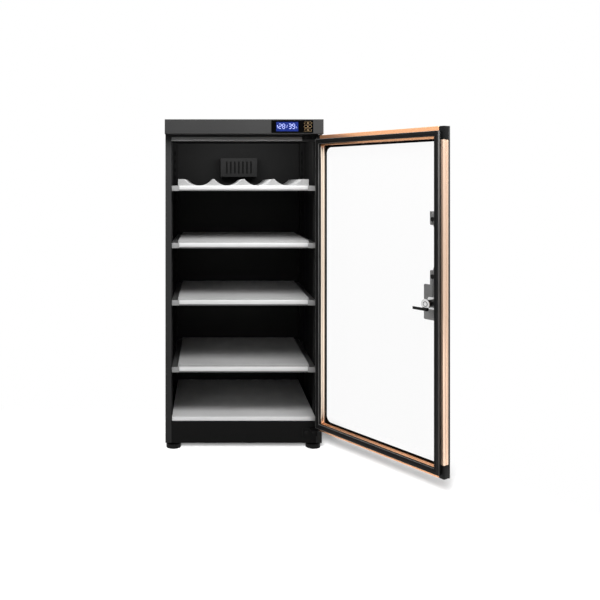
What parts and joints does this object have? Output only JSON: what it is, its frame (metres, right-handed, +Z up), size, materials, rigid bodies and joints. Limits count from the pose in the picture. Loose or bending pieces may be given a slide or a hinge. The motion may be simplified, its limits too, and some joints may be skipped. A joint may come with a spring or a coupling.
{
  "type": "camera dry cabinet",
  "caption": "Upright steel dry cabinet with a framed glass door, pull-out shelves, drying unit and digital humidity display, for storing cameras and lenses.",
  "frame": {"origin": "on the floor, under the centre of the cabinet's footprint (side panels and front frame to back panel)", "axes": "+Z up; -Y towards the door side; +X towards the hinge side, to the viewer's right"},
  "size_m": [0.629, 0.7132, 0.8416],
  "materials": {
    "body_paint": "fine textured grey paint",
    "inner_paint": "dark satin paint",
    "rose_gold": "brushed and anodised rose gold",
    "gasket": "soft matt black",
    "block_black": "moulded black",
    "glass": "clear toughened glass",
    "panel": "glossy black",
    "display": "backlit blue",
    "button": "black with a gilt outline",
    "board": "green solder resist",
    "slide_steel": "bright zinc",
    "rail_silver": "pale satin",
    "foam": "dense grey foam",
    "chrome": "bright plated",
    "handle": "satin grey",
    "desiccant": "white bag",
    "foot_black": "black"
  },
  "bodies": {
    "root": {"side_panel_left": "body_paint", "side_panel_right": "body_paint", "top_panel": "body_paint", "floor_panel": "inner_paint", "base_panel": "body_paint", "kick_plate": "body_paint", "back_panel": "body_paint", "header_shell": "body_paint", "display_panel": "panel", "lcd_module": "display", "control_board": "board", "power_inlet": "block_black", "support_posts_left": "inner_paint", "support_posts_right": "inner_paint", "slide_channels_left": "slide_steel", "slide_channels_right": "slide_steel", "dryer_housing": "block_black", "dryer_grille": "block_black", "desiccant_pack": "desiccant", "humidity_sensor": "board", "hinge_bracket_top": "body_paint", "hinge_bracket_bottom": "body_paint", "hinge_pins": "chrome", "cabinet_screws": "chrome", "floor_mat": "foam", "foot_nuts": "chrome"},
    "door": {"door_stile_hinge": "rose_gold", "door_stile_latch": "rose_gold", "door_rail_top": "rose_gold", "door_rail_bottom": "rose_gold", "corner_blocks_hinge": "block_black", "corner_blocks_latch": "block_black", "door_glass": "glass", "door_gasket": "gasket", "door_handle": "handle", "handle_screws": "block_black", "lock_barrel": "block_black", "lock_nut": "chrome"},
    "lock": {"lock_plug": "chrome", "lock_cam": "block_black", "cam_cap": "chrome"},
    "shelf_1": {"tray_1": "slide_steel", "front_rail_1": "rail_silver", "cradle_pad": "foam"},
    "shelf_2": {"tray_2": "slide_steel", "front_rail_2": "rail_silver", "shelf_mat_2": "foam"},
    "shelf_3": {"tray_3": "slide_steel", "front_rail_3": "rail_silver", "shelf_mat_3": "foam"},
    "shelf_4": {"tray_4": "slide_steel", "front_rail_4": "rail_silver", "shelf_mat_4": "foam"},
    "button_up_key": {"button_up": "button"},
    "button_set_key": {"button_set": "button"},
    "button_down_key": {"button_down": "button"},
    "foot_front_left_turner": {"foot_front_left": "foot_black"},
    "foot_front_right_turner": {"foot_front_right": "foot_black"},
    "foot_back_left_turner": {"foot_back_left": "foot_black"},
    "foot_back_right_turner": {"foot_back_right": "foot_black"}
  },
  "joints": [
    {"name": "door_hinge", "type": "hinge", "parent": "root", "child": "door", "pos_m": [0.191, -0.2015, 0.428], "axis": [0, 0, 1], "range_deg": [-124.5, 5.5]},
    {"name": "lock_turn", "type": "hinge", "parent": "door", "child": "lock", "pos_m": [0.39936, -0.47995, 0.421], "axis": [-0.8241, -0.5664, 0], "range_deg": [0, 180]},
    {"name": "shelf_1_slide", "type": "slide", "parent": "root", "child": "shelf_1", "axis": [0, -1, 0], "range_m": [0, 0.24]},
    {"name": "shelf_2_slide", "type": "slide", "parent": "root", "child": "shelf_2", "axis": [0, -1, 0], "range_m": [0, 0.24]},
    {"name": "shelf_3_slide", "type": "slide", "parent": "root", "child": "shelf_3", "axis": [0, -1, 0], "range_m": [0, 0.24]},
    {"name": "shelf_4_slide", "type": "slide", "parent": "root", "child": "shelf_4", "axis": [0, -1, 0], "range_m": [0, 0.24]},
    {"name": "button_up_press", "type": "slide", "parent": "root", "child": "button_up_key", "axis": [0, 1, 0], "range_m": [0, 0.0008], "stiffness_N_per_m": 800, "springref_m": -0.0008},
    {"name": "button_set_press", "type": "slide", "parent": "root", "child": "button_set_key", "axis": [0, 1, 0], "range_m": [0, 0.0008], "stiffness_N_per_m": 800, "springref_m": -0.0008},
    {"name": "button_down_press", "type": "slide", "parent": "root", "child": "button_down_key", "axis": [0, 1, 0], "range_m": [0, 0.0008], "stiffness_N_per_m": 800, "springref_m": -0.0008},
    {"name": "foot_front_left_turn", "type": "hinge", "parent": "root", "child": "foot_front_left_turner", "pos_m": [-0.18, -0.164, 0], "axis": [0, 0, 1], "continuous": true},
    {"name": "foot_front_right_turn", "type": "hinge", "parent": "root", "child": "foot_front_right_turner", "pos_m": [0.18, -0.164, 0], "axis": [0, 0, 1], "continuous": true},
    {"name": "foot_back_left_turn", "type": "hinge", "parent": "root", "child": "foot_back_left_turner", "pos_m": [-0.18, 0.164, 0], "axis": [0, 0, 1], "continuous": true},
    {"name": "foot_back_right_turn", "type": "hinge", "parent": "root", "child": "foot_back_right_turner", "pos_m": [0.18, 0.164, 0], "axis": [0, 0, 1], "continuous": true}
  ]
}
